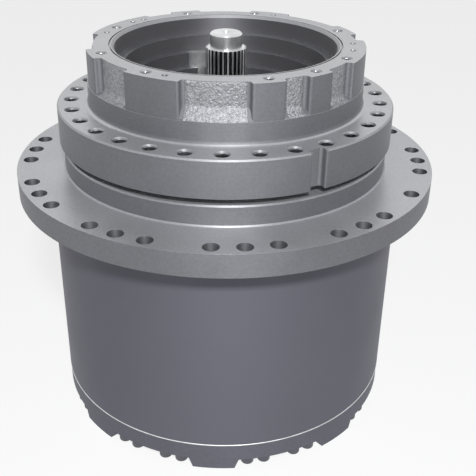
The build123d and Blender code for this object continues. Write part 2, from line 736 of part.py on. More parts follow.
with BuildPart() as stage_2_lock_pins:
    for angle in angles_2:
        with BuildSketch(outward_plane(lock_2_inner, angle, lock_2_z)):
            Circle(lock_pin_diameter / 2 - press_clearance)
        extrude(amount=carrier_radius - pin_end_inset - lock_2_inner)
stage_2_lock_pins.part.label = "stage_2_lock_pins"
export_step(stage_2_lock_pins.part, "parts/stage_2_lock_pins.step")

with BuildPart() as stage_2_thrust_washers:
    for height in (carrier_2_floor_z, carrier_2_roof_z - thrust_washer_thickness):
        with BuildSketch(Plane.XY.offset(height)):
            with Locations(*places_2):
                Circle(pin_2_diameter / 2 + thrust_washer_wall)
                Circle(pin_2_diameter / 2, mode=Mode.SUBTRACT)
        extrude(amount=thrust_washer_thickness)
stage_2_thrust_washers.part.label = "stage_2_thrust_washers"
export_step(stage_2_thrust_washers.part, "parts/stage_2_thrust_washers.step")

for index, angle in enumerate(angles_2, start=1):
    plane = planet_plane(centre_distance_2, angle, planet_2_teeth, gear_2_bottom_z)
    with BuildPart() as planet:
        with BuildSketch(plane):
            add(gear_face(planet_2_teeth))
            Circle(pin_2_diameter / 2 + bush_wall, mode=Mode.SUBTRACT)
        extrude(amount=gear_2_width)
    planet.part.label = f"stage_2_planet_{index}"
    export_step(planet.part, f"parts/stage_2_planet_{index}.step")
    with BuildPart() as bush:
        with BuildSketch(plane):
            Circle(pin_2_diameter / 2 + bush_wall - press_clearance)
            Circle(pin_2_diameter / 2 + running_clearance, mode=Mode.SUBTRACT)
        extrude(amount=gear_2_width)
    bush.part.label = f"stage_2_bush_{index}"
    export_step(bush.part, f"parts/stage_2_bush_{index}.step")

with BuildPart() as carrier_snap_ring:
    with BuildSketch(Plane.XY.offset(snap_ring_z)):
        Circle(spline_tip + snap_ring_height - running_clearance)
        Circle(spline_root - snap_ring_groove, mode=Mode.SUBTRACT)
        with Locations((spline_tip, 0)):
            Rectangle(2 * (snap_ring_height + snap_ring_groove + spindle_spline_depth), snap_ring_opening,
                      mode=Mode.SUBTRACT)
    extrude(amount=snap_ring_thickness)
carrier_snap_ring.part.label = "carrier_snap_ring"
export_step(carrier_snap_ring.part, "parts/carrier_snap_ring.step")

# Main bearings: a pair of tapered roller bearings, thick ends of the outer races to the hub's shoulder.
thin_race_radius = bearing_bore_radius + bearing_thin_race
thick_race_radius = thin_race_radius + bearing_taper


def bearing_profiles(small_end_z, large_end_z):
    """Half sections of the inner race, the roller row and the outer race."""
    inward = 1 if large_end_z > small_end_z else -1
    rib_z = large_end_z - inward * bearing_rib
    roller_small_z = small_end_z + inward * bearing_rib
    roller_large_z = rib_z - inward * end_float

    def raceway(height):
        share = (height - small_end_z) / (large_end_z - small_end_z)
        return thin_race_radius + bearing_taper * share

    roller_in = running_clearance
    roller_out = running_clearance + roller_thickness
    race_out = 2 * running_clearance + roller_thickness
    rib_radius = raceway(rib_z) + bearing_rib
    inner_race = [(bearing_bore_radius, small_end_z), (thin_race_radius, small_end_z),
                  (raceway(rib_z), rib_z), (rib_radius, rib_z), (rib_radius, large_end_z),
                  (bearing_bore_radius, large_end_z)]
    rollers = [(raceway(roller_small_z) + roller_in, roller_small_z),
               (raceway(roller_small_z) + roller_out, roller_small_z),
               (raceway(roller_large_z) + roller_out, roller_large_z),
               (raceway(roller_large_z) + roller_in, roller_large_z)]
    seat_radius = bearing_outer_radius - press_clearance
    outer_race = [(thin_race_radius + race_out, small_end_z), (seat_radius, small_end_z),
                  (seat_radius, large_end_z), (thick_race_radius + race_out, large_end_z)]
    return {"inner_race": inner_race, "rollers": rollers, "outer_race": outer_race}


for bearing_name, small_end_z, large_end_z in (("upper", bearing_2_bottom_z, bearing_2_top_z),
                                               ("lower", bearing_1_top_z, bearing_1_bottom_z)):
    for piece_name, points in bearing_profiles(small_end_z, large_end_z).items():
        with BuildPart() as bearing_piece:
            with BuildSketch(Plane.XZ):
                with BuildLine():
                    Polyline(*points, close=True)
                make_face()
            revolve(axis=Axis.Z)
        bearing_piece.part.label = f"{bearing_name}_{piece_name}"
        export_step(bearing_piece.part, f"parts/{bearing_name}_{piece_name}.step")

nut_thread_radius = bearing_bore_radius - spindle_thread_step
nut_radius = bearing_bore_radius + nut_wall

with BuildPart() as bearing_nut:
    with BuildSketch(Plane.XY.offset(nut_bottom_z)):
        Circle(nut_radius)
        Circle(nut_thread_radius, mode=Mode.SUBTRACT)
        with PolarLocations(nut_radius, nut_slot_count):
            Rectangle(2 * nut_slot_depth, nut_slot_width, mode=Mode.SUBTRACT)
    extrude(amount=nut_height)
bearing_nut.part.label = "bearing_nut"
export_step(bearing_nut.part, "parts/bearing_nut.step")

# Face seal: two iron rings that run on each other, each carried by a squeezed rubber ring.
seal_ramp_radius = seal_face_radius - seal_lip_step


def seal_profiles(side):
    """Half sections of one seal ring and its rubber ring, below the seal plane for side -1."""
    def level(distance):
        return seal_plane_z + side * distance

    face = level(running_clearance)
    lip = level(seal_lip_height)
    ramp_start = level(seal_lip_height + seal_ramp)
    back = level(seal_ring_height)
    pocket = level(seal_ring_height - seal_ramp)
    ring = [(seal_ring_radius, face), (seal_face_radius, face), (seal_face_radius, lip),
            (seal_ramp_radius, ramp_start), (seal_ramp_radius - seal_ramp, back), (seal_ring_radius, back)]
    share = (pocket - ramp_start) / (back - ramp_start)
    rubber = [(seal_ramp_radius, ramp_start), (seal_pocket_radius, ramp_start), (seal_pocket_radius, pocket),
              (seal_ramp_radius - seal_ramp * share, pocket)]
    return {"seal_ring": ring, "seal_rubber": rubber}


for seal_name, side in (("rotating", -1), ("fixed", 1)):
    for piece_name, points in seal_profiles(side).items():
        with BuildPart() as seal_piece:
            with BuildSketch(Plane.XZ):
                with BuildLine():
                    Polyline(*points, close=True)
                make_face()
            revolve(axis=Axis.Z)
        seal_piece.part.label = f"{seal_name}_{piece_name}"
        export_step(seal_piece.part, f"parts/{seal_name}_{piece_name}.step")

# Spindle housing: frame flange, motor flange and bearing spindle are one casting.
spindle_step_z = carrier_2_top_z + end_float
brake_pin_circle = cavity_radius_3 + brake_pin_inset
brake_pin_place = polar(brake_pin_circle, brake_pin_angle)
brake_pin_bottom_z = ledge_3_z - brake_pin_seat
pocket_radius = lug_radius - pocket_depth
groove_inner_radius = cavity_radius_1 + motor_seal_groove_inset
pocket_ends = [angle for start, end, floor_rise in pockets for angle in (start, end)]
pocket_corners = [polar(pocket_radius, angle) for angle in pocket_ends]
pocket_lips = [polar(lug_radius, angle) for angle in pocket_ends]
notch_half_angle = degrees(asin(notch_width / 2 / frame_flange_radius))
notch_lips = [polar(frame_flange_radius, notch_angle + side * notch_half_angle) for side in (-1, 1)]

with BuildPart() as spindle_housing:
    with BuildSketch(Plane.XZ):
        with BuildLine():
            Polyline(
                (spindle_bore_diameter / 2, spindle_step_z),
                (nut_thread_radius, spindle_step_z),
                (nut_thread_radius, bearing_1_bottom_z),
                (bearing_bore_radius, bearing_1_bottom_z),
                (bearing_bore_radius, bearing_2_top_z),
                (bearing_bore_radius + spindle_shoulder, bearing_2_top_z),
                (bearing_bore_radius + spindle_shoulder, frame_under_z + seal_pocket_height),
                (seal_pocket_radius, frame_under_z + seal_pocket_height),
                (seal_pocket_radius, frame_under_z),
                (frame_flange_radius, frame_under_z),
                (frame_flange_radius, frame_top_z),
                (collar_radius, frame_top_z),
                (collar_radius, collar_top_z),
                (lug_radius, collar_top_z),
                (lug_radius, motor_face_z),
                (cavity_radius_1, motor_face_z),
                (cavity_radius_1, ledge_1_z),
                (cavity_radius_2, ledge_1_z),
                (cavity_radius_2, ledge_2_z),
                (cavity_radius_3, ledge_2_z),
                (cavity_radius_3, ledge_3_z),
                (cavity_radius_4, ledge_3_z),
                (cavity_radius_4, cavity_floor_height),
                (spindle_bore_diameter / 2, cavity_floor_height - cavity_floor_slope),
                close=True,
            )
        make_face()
    revolve(axis=Axis.Z)
    with BuildSketch(Plane.XY.offset(spindle_end_z)):
        add(toothed_outline(spindle_spline_teeth, spline_pitch_radius, spline_root, spline_tip,
                            spline_pressure_angle, 0))
        Circle(spindle_bore_diameter / 2, mode=Mode.SUBTRACT)
    extrude(amount=spindle_step_z - spindle_end_z)
    with BuildSketch(Plane.XY.offset(snap_ring_z)):
        Circle(spline_tip)
        Circle(spline_root - snap_ring_groove, mode=Mode.SUBTRACT)
    extrude(amount=snap_ring_thickness, mode=Mode.SUBTRACT)
    fillet(rim(spindle_housing.part, collar_radius, frame_top_z), collar_fillet)
    chamfer(rim(spindle_housing.part, frame_flange_radius, frame_top_z), frame_edge_chamfer)
    chamfer(rim(spindle_housing.part, cavity_radius_1, motor_face_z), cavity_mouth_chamfer)
    for start, end, floor_rise in pockets:
        with BuildSketch(radial_plane(start)):
            with BuildLine():
                Polyline(
                    (pocket_radius, collar_top_z + floor_rise),
                    (collar_radius, collar_top_z),
                    (collar_radius + pocket_depth, collar_top_z),
                    (collar_radius + pocket_depth, motor_face_z),
                    (pocket_radius, motor_face_z),
                    close=True,
                )
            make_face()
        revolve(axis=Axis.Z, revolution_arc=end - start, mode=Mode.SUBTRACT)
    fillet(uprights(spindle_housing.part, pocket_corners), pocket_corner)
    fillet(uprights(spindle_housing.part, pocket_lips), pocket_lip)
    with BuildSketch(Plane.XY.offset(frame_under_z)):
        with PolarLocations(frame_flange_radius, 1, start_angle=notch_angle):
            RectangleRounded(2 * notch_depth, notch_width, notch_corner)
    extrude(amount=frame_flange_thickness, mode=Mode.SUBTRACT)
    fillet(uprights(spindle_housing.part, notch_lips), notch_lip)
    with Locations(Plane.XY.offset(frame_top_z)):
        with PolarLocations(frame_hole_circle, frame_hole_count, start_angle=frame_hole_first_angle):
            CounterSinkHole(frame_hole_core_diameter / 2, frame_hole_core_diameter / 2 + frame_hole_chamfer,
                            depth=frame_hole_depth, counter_sink_angle=90)
    with Locations(Plane.XY.offset(motor_face_z)):
        with Locations(*[polar(motor_hole_circle_diameter / 2, angle) for angle in motor_hole_angles]):
            CounterSinkHole(motor_hole_core_diameter / 2, motor_hole_core_diameter / 2 + motor_hole_chamfer,
                            depth=motor_hole_depth, counter_sink_angle=90)
        with Locations(*[polar(motor_hole_circle_diameter / 2, angle) for angle in small_hole_angles]):
            Hole(small_hole_core_diameter / 2, depth=small_hole_depth)
    with BuildSketch(Plane.XY.offset(motor_face_z)):
        Circle(groove_inner_radius + motor_seal_groove_width)
        Circle(groove_inner_radius, mode=Mode.SUBTRACT)
    extrude(amount=-motor_seal_groove_depth, mode=Mode.SUBTRACT)
    with BuildSketch(Plane.XY.offset(brake_pin_bottom_z)):
        with Locations(brake_pin_place):
            Circle(brake_pin_diameter / 2)
    extrude(amount=ledge_2_z - brake_pin_bottom_z, mode=Mode.SUBTRACT)
spindle_housing.part.label = "spindle_housing"
export_step(spindle_housing.part, "parts/spindle_housing.step")

with BuildPart() as brake_locating_pin:
    with BuildSketch(Plane.XY.offset(brake_pin_bottom_z)):
        with Locations(brake_pin_place):
            Circle(brake_pin_diameter / 2 - press_clearance)
    extrude(amount=ledge_2_z - brake_pin_bottom_z)
brake_locating_pin.part.label = "brake_locating_pin"
export_step(brake_locating_pin.part, "parts/brake_locating_pin.step")
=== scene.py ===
import math

import bpy
from mathutils import Matrix, Vector, noise


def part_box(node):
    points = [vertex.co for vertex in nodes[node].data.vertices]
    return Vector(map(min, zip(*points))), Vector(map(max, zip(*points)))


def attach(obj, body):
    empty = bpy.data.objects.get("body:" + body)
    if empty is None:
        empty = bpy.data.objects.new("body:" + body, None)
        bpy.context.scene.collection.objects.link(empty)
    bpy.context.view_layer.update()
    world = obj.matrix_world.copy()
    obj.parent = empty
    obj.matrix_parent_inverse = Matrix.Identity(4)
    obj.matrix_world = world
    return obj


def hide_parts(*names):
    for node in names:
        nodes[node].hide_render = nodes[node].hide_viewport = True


# Final drive of a crawler excavator: finishes, small detail, light and camera.
# Metres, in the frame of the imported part: +Z up, origin under the axis on the ground.

MM = 0.001

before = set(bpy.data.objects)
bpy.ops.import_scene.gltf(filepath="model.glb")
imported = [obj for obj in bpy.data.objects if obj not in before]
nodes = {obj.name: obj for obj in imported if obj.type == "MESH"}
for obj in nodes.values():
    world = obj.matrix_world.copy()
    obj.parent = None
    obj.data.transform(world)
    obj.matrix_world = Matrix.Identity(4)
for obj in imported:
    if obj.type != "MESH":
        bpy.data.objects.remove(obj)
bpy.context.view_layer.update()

# Camera: worked out from the ellipses and edges of the photograph
camera_place = (20.06 * MM, -1090.9 * MM, 822.7 * MM)
camera_pitch_down = 28.38
camera_roll = 0.83
camera_lens = 60.96
camera_sensor = 36.0

# Light: one lamp in front of the object and a little above the camera, in pale surroundings
key_place = (0.16, -1.86, 1.80)
key_aim = (0.0, 0.0, 0.30)
key_size = 0.24
key_power = 44.0
fill_strength = 0.10
floor_half_size = 6.0
floor_colour = (0.24, 0.24, 0.245)
floor_glow = 0.80

# Levels and radii of the housings
motor_face_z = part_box("spindle_housing")[1].z
frame_top_z = motor_face_z - 76.8 * MM
frame_under_z = frame_top_z - 50.0 * MM
collar_top_z = frame_top_z + 29.2 * MM
flange_under_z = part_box("drum_housing")[1].z - 60.3 * MM
cover_face_z = 15.0 * MM
drum_bottom_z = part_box("drum_housing")[0].z
spline_top_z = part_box("input_shaft")[1].z - 20.3 * MM
spline_root_radius = 24.8 * MM
spline_gap_radius = 27.1 * MM
collar_radius = 190.0 * MM
lug_radius = 189.2 * MM
pocket_radius = 179.5 * MM
cavity_radius = 151.4 * MM
frame_flange_radius = 232.8 * MM
notch_angle = 300.0
notch_reach = 13.0 * MM
notch_floor_radius = 221.0 * MM

# Zones of a finish: how far they stay from edges, and how softly they end
edge_margin = 0.4 * MM
face_margin = 0.3 * MM
pocket_wall_margin = 0.6 * MM
zone_fade = 0.2 * MM
flange_fade = 0.1 * MM
cavity_chamfer = 4.0 * MM
cavity_fade = 0.4 * MM
spline_fade = 0.3 * MM

# Cast pockets of the motor flange: start angle, end angle, rise of the floor towards the axis
pockets = ((5, 14.7, 4), (31, 60, 4), (79, 104, 16), (118, 131, 8), (171, 195, 4), (209, 230, 4),
           (254, 280.5, 16), (293.5, 303.5, 8), (315, 329.5, 4))
skin_end_margin = 1.5
skin_column_angle = 0.32
skin_row_height = 0.9 * MM
skin_foot_radius = 9.0 * MM
skin_lift = 0.08 * MM
skin_grain = 0.9 * MM
skin_grain_size = 2.8 * MM
skin_border = 2.5 * MM
skin_top_margin = 0.5 * MM
skin_edge_margin = 0.6 * MM
bump_weight = 0.8
bump_step = 2.0
bump_octaves = 4

# Tapped holes: threads wound inside the drilled holes
frame_hole_circle = 214.0 * MM
frame_hole_count = 30
frame_hole_first_angle = -90.0
frame_hole_radius = 8.75 * MM
frame_thread_pitch = 2.5 * MM
frame_thread_start = 1.7 * MM
frame_thread_turns = 11
motor_hole_circle = 172.5 * MM
motor_hole_radius = 6.0 * MM
motor_thread_pitch = 2.0 * MM
motor_thread_start = 1.5 * MM
motor_thread_turns = 12
motor_hole_angles = (23.2, 76.2, 111.1, 156.4, 202.2, 237.0, 288.2, 310.6, 334.7)
small_hole_radius = 4.25 * MM
small_thread_pitch = 1.5 * MM
small_thread_start = 0.2 * MM
small_thread_turns = 11
small_hole_angles = (66.2, 136.4, 143.7, 166.7, 246.2, 347.9, 359.6)
thread_segments = 28
thread_clearance = 0.05 * MM
thread_depth = 0.5 * MM

# Cover bolts: socket screws
cover_bolt_circle = 237.95 * MM
foot_count = 8
foot_first_angle = 267.8
cover_bolt_offsets = (11.3, 17.0, 28.0, 33.7)
screw_segments = 36
screw_radius = 5.98 * MM
screw_reach = 50.4 * MM
screw_tip = 1.2 * MM
head_radius = 9.0 * MM
head_height = 12.0 * MM
head_edge = 1.4 * MM
socket_radius = 5.0 * MM
socket_mouth = 6.1 * MM
socket_depth = 6.5 * MM
head_round_share = 0.3
hexagon_sector = 60.0
sharp_angle = 35.0

# Rolled edge of the cover, just under the drum
lip_radius = 248.75 * MM
lip_size = 1.0 * MM
lip_first_turn = 200.0
lip_sweep = 250.0
lip_lift = 0.5
lip_rows = 9
lip_segments = 360

# Colours, as linear values
steel_colour = (0.50, 0.505, 0.53)
# Upright faces are darker than level ones: painted shade on the sides and painted light on the tops
upright_shade_colour = (0.215, 0.217, 0.235)
# Painted shade: the walls inside the motor cavity are darker
cavity_shade_colour = (0.165, 0.165, 0.178)
cast_wall_colour = (0.23, 0.232, 0.25)
drum_colour = (0.16, 0.16, 0.195)
cast_colour = (0.38, 0.384, 0.405)
bright_steel_colour = (0.72, 0.73, 0.74)
gear_colour = (0.42, 0.42, 0.43)
carrier_colour = (0.32, 0.32, 0.33)
bronze_colour = (0.55, 0.36, 0.16)
rubber_colour = (0.018, 0.018, 0.019)
bolt_colour = (0.14, 0.14, 0.16)

# Finishes: metallic shares, roughnesses, stretch of the highlights, worn edges
turned_metallic = 0.9
level_metallic = 0.55
dull_metallic = 0.5
skin_metallic = 0.6
upright_roughness = 0.6
level_roughness = 0.34
wall_roughness = 0.62
skin_roughness = 0.5
shaft_roughness = 0.33
turned_grain = 0.5
cavity_grain = 0.8
shaft_grain = 0.6
turned_edge = 0.5 * MM
shaft_edge = 0.12 * MM
quarter_turn = 0.25

# Range in which a noise lies for the most part, and upward slopes between upright and level
noise_range = (0.3, 0.7)
slope_range = (0.5, 0.9)

# Mottle: features per metre, darkest and brightest multiple of the colour, depths of the relief
cloud_scale = 9.0
cloud_tint = (0.93, 1.05)
cloud_gloss = 0.03
turned_lines_per_metre = 1400.0
turned_line_tint = (0.94, 1.04)
turned_line_depth = 0.010 * MM
grit_scale = 280.0
grit_tint = (0.93, 1.06)
pore_scale = 900.0
pore_depth = 0.010 * MM
wall_speck_scale = 520.0
wall_speck_depth = 0.6 * MM
cover_wave_scale = 160.0
cover_wave_depth = 0.05 * MM
skin_tint_scale = 240.0
skin_tint = (0.62, 1.2)
skin_gloss_scale = 700.0
skin_gloss = 0.12
skin_speck_scale = 380.0
skin_speck_depth = 1.6 * MM
shaft_tint_scale = 40.0
shaft_tint = (0.9, 1.05)
shaft_gloss_scale = 60.0
shaft_gloss = 0.04
shaft_lines_per_metre = 2500.0
shaft_line_depth = 0.004 * MM
plain_scale = 60.0
plain_fine_scale = 600.0
plain_tint = (0.88, 1.08)
plain_gloss = 0.06
plain_depth = 0.02 * MM
# Painted shade in the gaps of the spline
spline_gap_shade_colour = (0.05, 0.05, 0.055)


class Nodes:
    """A node tree with short ways to add and join nodes."""

    def __init__(self, tree):
        self.tree = tree
        tree.nodes.clear()

    def add(self, kind, **settings):
        node = self.tree.nodes.new(kind)
        for key, value in settings.items():
            setattr(node, key, value)
        return node

    def join(self, source, target):
        self.tree.links.new(source, target)

    def feed(self, socket, value):
        """Links an output to a socket, or sets a plain value on it."""
        if isinstance(value, bpy.types.NodeSocket):
            self.join(value, socket)
        else:
            socket.default_value = value

    def math(self, operation, first, second=0.0):
        node = self.add("ShaderNodeMath", operation=operation)
        self.feed(node.inputs[0], first)
        self.feed(node.inputs[1], second)
        return node.outputs[0]

    def between(self, value, low, high, from_value, to_value):
        """Maps a value smoothly from one range to another and stops at its ends."""
        node = self.add("ShaderNodeMapRange", interpolation_type="SMOOTHSTEP")
        for key, part in (("Value", value), ("From Min", low), ("From Max", high),
                          ("To Min", from_value), ("To Max", to_value)):
            self.feed(node.inputs[key], part)
        return node.outputs["Result"]

    def inside(self, value, low, high, soft=0.15 * MM):
        """1 where a value lies between two others, 0 elsewhere."""
        return self.math("MULTIPLY", self.between(value, low - soft, low + soft, 0.0, 1.0),
                         self.between(value, high - soft, high + soft, 1.0, 0.0))

    def background(self, strength):
        """Strength of a background that the camera sees and that metal and glass show."""
        rays = self.add("ShaderNodeLightPath").outputs
        shown = self.math("MAXIMUM", rays["Is Glossy Ray"], rays["Is Transmission Ray"])
        return self.math("MULTIPLY", self.math("MAXIMUM", rays["Is Camera Ray"], shown), strength)


class Finish(Nodes):
    """A material that is built up in named steps."""

    def __init__(self, name, colour, metallic, roughness):
        self.material = bpy.data.materials.new(name)
        self.material.use_nodes = True
        super().__init__(self.material.node_tree)
        self.shader = self.add("ShaderNodeBsdfPrincipled")
        output = self.add("ShaderNodeOutputMaterial")
        self.join(self.shader.outputs["BSDF"], output.inputs["Surface"])
        self.traits = {"Base Color": (*colour, 1), "Metallic": metallic, "Roughness": roughness}
        self.coordinates = self.add("ShaderNodeTexCoord").outputs
        self.reliefs = []
        self.edge = 0.0

    def noise(self, scale, detail=2.0, rough=0.5):
        node = self.add("ShaderNodeTexNoise")
        self.join(self.coordinates["Object"], node.inputs["Vector"])
        node.inputs["Scale"].default_value = scale
        node.inputs["Detail"].default_value = detail
        node.inputs["Roughness"].default_value = rough
        return node.outputs["Fac"]

    def place(self):
        """Sideways places x and y, distance from the axis and height."""
        split = self.add("ShaderNodeSeparateXYZ")
        self.join(self.coordinates["Object"], split.inputs[0])
        x, y, z = split.outputs
        squares = self.math("ADD", self.math("MULTIPLY", x, x), self.math("MULTIPLY", y, y))
        return x, y, self.math("SQRT", squares), z

    def flatness(self):
        """1 on level faces, 0 on upright ones."""
        split = self.add("ShaderNodeSeparateXYZ")
        self.join(self.coordinates["Normal"], split.inputs[0])
        return self.between(self.math("ABSOLUTE", split.outputs[2]), *slope_range, 0.0, 1.0)

    def turned_lines(self, lines_per_metre):
        """Uneven fine lines, rings on level faces and hoops on upright ones."""
        across, height = self.place()[2:]
        flat = self.flatness()
        along = self.math("ADD", self.math("MULTIPLY", across, flat),
                          self.math("MULTIPLY", height, self.math("SUBTRACT", 1.0, flat)))
        node = self.add("ShaderNodeTexNoise", noise_dimensions="1D")
        self.join(along, node.inputs["W"])
        node.inputs["Scale"].default_value = lines_per_metre
        node.inputs["Detail"].default_value = 3.0
        return node.outputs["Fac"]

    def blend(self, trait, factor, value):
        """Lets a trait change to another value where the factor is 1."""
        node = self.add("ShaderNodeMix", data_type="RGBA" if trait == "Base Color" else "FLOAT")
        self.feed(node.inputs["Factor"], factor)
        self.feed(node.inputs["A"], self.traits[trait])
        self.feed(node.inputs["B"], value)
        self.traits[trait] = node.outputs["Result"]

    def tint(self, factor, dark, bright):
        """Varies the colour between two multiples of it."""
        node = self.add("ShaderNodeMix", data_type="RGBA", blend_type="MULTIPLY")
        node.inputs["Factor"].default_value = 1.0
        self.feed(node.inputs["A"], self.traits["Base Color"])
        self.join(self.between(factor, *noise_range, dark, bright), node.inputs["B"])
        self.traits["Base Color"] = node.outputs["Result"]

    def gloss(self, factor, spread):
        """Varies the roughness on both sides of its value."""
        self.traits["Roughness"] = self.math("ADD", self.between(factor, *noise_range, -spread, spread),
                                             self.traits["Roughness"])

    def grain(self, strength):
        """Stretches highlights across the turning marks."""
        tangent = self.add("ShaderNodeTangent", direction_type="RADIAL", axis="Z")
        self.join(tangent.outputs[0], self.shader.inputs["Tangent"])
        self.traits["Anisotropic"] = strength
        self.shader.inputs["Anisotropic Rotation"].default_value = quarter_turn

    def relief(self, height, depth):
        """Adds a layer of relief, its depth in metres."""
        self.reliefs.append((height, depth))

    def finish(self):
        """Joins the traits, the soft edges and the layers of relief, and returns the material."""
        for trait, value in self.traits.items():
            self.feed(self.shader.inputs[trait], value)
        below = None
        if self.edge:
            bevel = self.add("ShaderNodeBevel", samples=4)
            bevel.inputs["Radius"].default_value = self.edge
            below = bevel.outputs["Normal"]
        for height, depth in self.reliefs:
            bump = self.add("ShaderNodeBump")
            bump.inputs["Distance"].default_value = depth
            self.join(height, bump.inputs["Height"])
            if below is not None:
                self.join(below, bump.inputs["Normal"])
            below = bump.outputs["Normal"]
        if below is not None:
            self.join(below, self.shader.inputs["Normal"])
        return self.material


def turned_iron(name, level_colour, colour, metallic=turned_metallic):
    """Turned casting: satin on upright faces, glossier rings on level ones; the upright faces carry painted
    shade and the level ones painted light.
    """
    made = Finish(name, colour, metallic, upright_roughness)
    flat = made.flatness()
    # Painted light and shade: level faces lighter, upright faces darker
    made.blend("Base Color", flat, (*level_colour, 1))
    made.blend("Roughness", flat, level_roughness)
    made.blend("Metallic", flat, level_metallic)
    clouds = made.noise(cloud_scale, detail=4.0)
    lines = made.turned_lines(turned_lines_per_metre)
    made.tint(clouds, *cloud_tint)
    made.tint(lines, *turned_line_tint)
    made.tint(made.noise(grit_scale, detail=3.0, rough=0.7), *grit_tint)
    made.gloss(clouds, cloud_gloss)
    made.grain(turned_grain)
    made.relief(lines, turned_line_depth)
    made.relief(made.noise(pore_scale), pore_depth)
    made.edge = turned_edge
    return made


def cast_zone(made, zone):
    """Leaves the raw casting showing in one zone of a turned part."""
    specks = made.noise(wall_speck_scale, detail=4.0, rough=0.65)
    made.blend("Base Color", zone, (*cast_wall_colour, 1))
    made.blend("Roughness", zone, wall_roughness)
    made.blend("Metallic", zone, dull_metallic)
    made.relief(made.math("MULTIPLY", specks, zone), wall_speck_depth)


def spindle_finish():
    """Turned all over, but for the pockets of the motor flange and the notch of the frame flange."""
    made = turned_iron("spindle_iron", steel_colour, upright_shade_colour)
    x, y, across, height = made.place()
    cavity_top_z = motor_face_z - cavity_chamfer
    cavity = made.math("MULTIPLY", made.between(across, cavity_radius, cavity_radius + zone_fade, 1.0, 0.0),
                       made.between(height, cavity_top_z, cavity_top_z + cavity_fade, 1.0, 0.0))
    # Painted shade on the upright walls of the motor cavity
    upright = made.math("MULTIPLY", cavity, made.math("SUBTRACT", 1.0, made.flatness()))
    made.blend("Base Color", upright, (*cavity_shade_colour, 1))
    made.blend("Metallic", cavity, 1.0)
    made.blend("Anisotropic", upright, cavity_grain)
    pocket = made.math("MULTIPLY",
                       made.inside(across, pocket_radius - pocket_wall_margin, lug_radius - edge_margin),
                       made.inside(height, collar_top_z + edge_margin, motor_face_z - face_margin))
    turn = math.radians(notch_angle)
    sideways = made.math("ABSOLUTE", made.math("SUBTRACT", made.math("MULTIPLY", y, math.cos(turn)),
                                               made.math("MULTIPLY", x, math.sin(turn))))
    notch = made.math("MULTIPLY", made.inside(across, notch_floor_radius, frame_flange_radius - edge_margin),
                      made.between(sideways, notch_reach, notch_reach + zone_fade, 1.0, 0.0))
    notch = made.math("MULTIPLY", notch, made.math("LESS_THAN", y, 0.0))
    side = made.inside(height, frame_under_z + edge_margin, frame_top_z - edge_margin)
    cast_zone(made, made.math("MAXIMUM", pocket, made.math("MULTIPLY", notch, side)))
    return made.finish()


def drum_finish():
    """Bright above the sprocket flange's underside, darker and less metallic on the drum below it."""
    made = turned_iron("drum_iron", steel_colour, upright_shade_colour)
    height = made.place()[3]
    lower = made.between(height, flange_under_z - flange_fade, flange_under_z + flange_fade, 1.0, 0.0)
    made.blend("Base Color", lower, (*drum_colour, 1))
    made.blend("Metallic", lower, dull_metallic)
    return made.finish()


def cover_finish():
    """As dark and as little metallic as the drum, and slightly wavy."""
    made = turned_iron("cover_iron", drum_colour, drum_colour, dull_metallic)
    made.relief(made.noise(cover_wave_scale, detail=3.0), cover_wave_depth)
    return made.finish()


def skin_finish():
    """Raw casting, shot-blasted and slightly sparkling."""
    made = Finish("raw_casting", cast_colour, skin_metallic, skin_roughness)
    made.tint(made.noise(skin_tint_scale, detail=5.0, rough=0.75), *skin_tint)
    made.gloss(made.noise(skin_gloss_scale), skin_gloss)
    made.relief(made.noise(skin_speck_scale, detail=3.0, rough=0.6), skin_speck_depth)
    return made.finish()


def shaft_finish():
    """Ground steel, with painted shade in the gaps of the spline."""
    made = Finish("ground_shaft", bright_steel_colour, 1.0, shaft_roughness)
    made.tint(made.noise(shaft_tint_scale, detail=3.0), *shaft_tint)
    made.gloss(made.noise(shaft_gloss_scale, detail=3.0), shaft_gloss)
    made.relief(made.turned_lines(shaft_lines_per_metre), shaft_line_depth)
    made.grain(shaft_grain)
    across, height = made.place()[2:]
    # Painted shade: the gaps of the spline are coloured near black
    gaps = made.math("MULTIPLY", made.inside(across, spline_root_radius, spline_gap_radius),
                     made.between(height, spline_top_z - spline_fade, spline_top_z, 1.0, 0.0))
    made.blend("Base Color", gaps, (*spline_gap_shade_colour, 1))
    made.edge = shaft_edge
    return made.finish()


def plain(name, colour, metallic, roughness):
    """Even surface with a light mottle, for bolts, threads and the pieces inside."""
    made = Finish(name, colour, metallic, roughness)
    clouds = made.noise(plain_scale, detail=4.0)
    made.tint(clouds, *plain_tint)
    made.gloss(clouds, plain_gloss)
    made.relief(made.noise(plain_fine_scale, detail=3.0), plain_depth)
    return made.finish()


def paint(material, *names):
    """Gives carried-over nodes their finish."""
    for name in names:
        data = nodes[name].data
        data.materials.clear()
        data.materials.append(material)


def round_place(radius, degrees, height=0.0):
    """Point at a radius, an angle in degrees and a height."""
    turn = math.radians(degrees)
    return Vector((radius * math.cos(turn), radius * math.sin(turn), height))


def add_piece(name, points, faces, material, body):
    """Makes a smooth mesh that rides on a body."""
    mesh = bpy.data.meshes.new(name)
    mesh.from_pydata(points, [], faces)
    mesh.shade_smooth()
    mesh.materials.append(material)
    piece = bpy.data.objects.new(name, mesh)
    bpy.context.scene.collection.objects.link(piece)
    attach(piece, body)
    return piece


